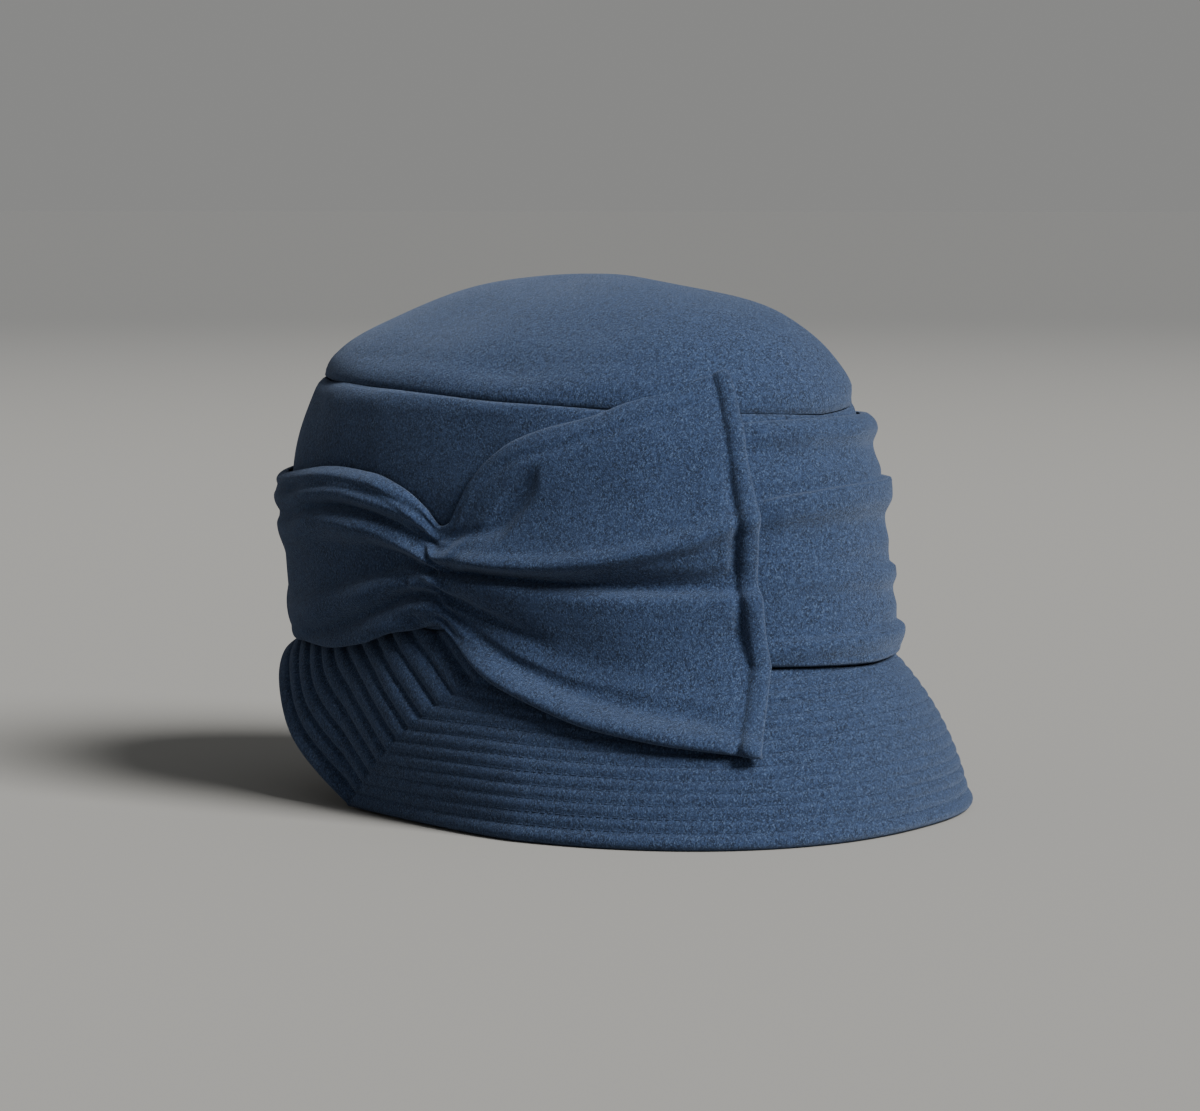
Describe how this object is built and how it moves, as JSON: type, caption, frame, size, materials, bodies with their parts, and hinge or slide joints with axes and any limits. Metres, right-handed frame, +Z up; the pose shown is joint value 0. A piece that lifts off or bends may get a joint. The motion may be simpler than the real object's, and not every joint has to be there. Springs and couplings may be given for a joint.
{
  "type": "cloche hat",
  "caption": "Soft wool cloche hat: stitched bell brim, hollow crown, and a tucked strip round it gathered into a pleated fan at one side.",
  "frame": {"origin": "middle of the hat's width and length, on the plane that the rim rests on", "axes": "+Z up through the crown, -Y towards the front of the brim, +X towards the wearer's left"},
  "size_m": [0.2124, 0.2718, 0.1964],
  "materials": {
    "brim_cloth": "brushed heathered blue wool coating, quilted with rows of stitching",
    "brim_lining_cloth": "the same wool coating on the under side, quilted with the same rows",
    "crown_cloth": "brushed heathered blue wool coating with a short soft nap",
    "wrap_cloth": "brushed heathered blue wool coating with a short soft nap"
  },
  "bodies": {
    "root": {"brim_upper": "brim_cloth", "brim_under": "brim_lining_cloth", "crown_band": "crown_cloth", "crown_tip": "crown_cloth", "tucked_wrap": "wrap_cloth", "pleated_fan": "wrap_cloth"}
  },
  "joints": []
}
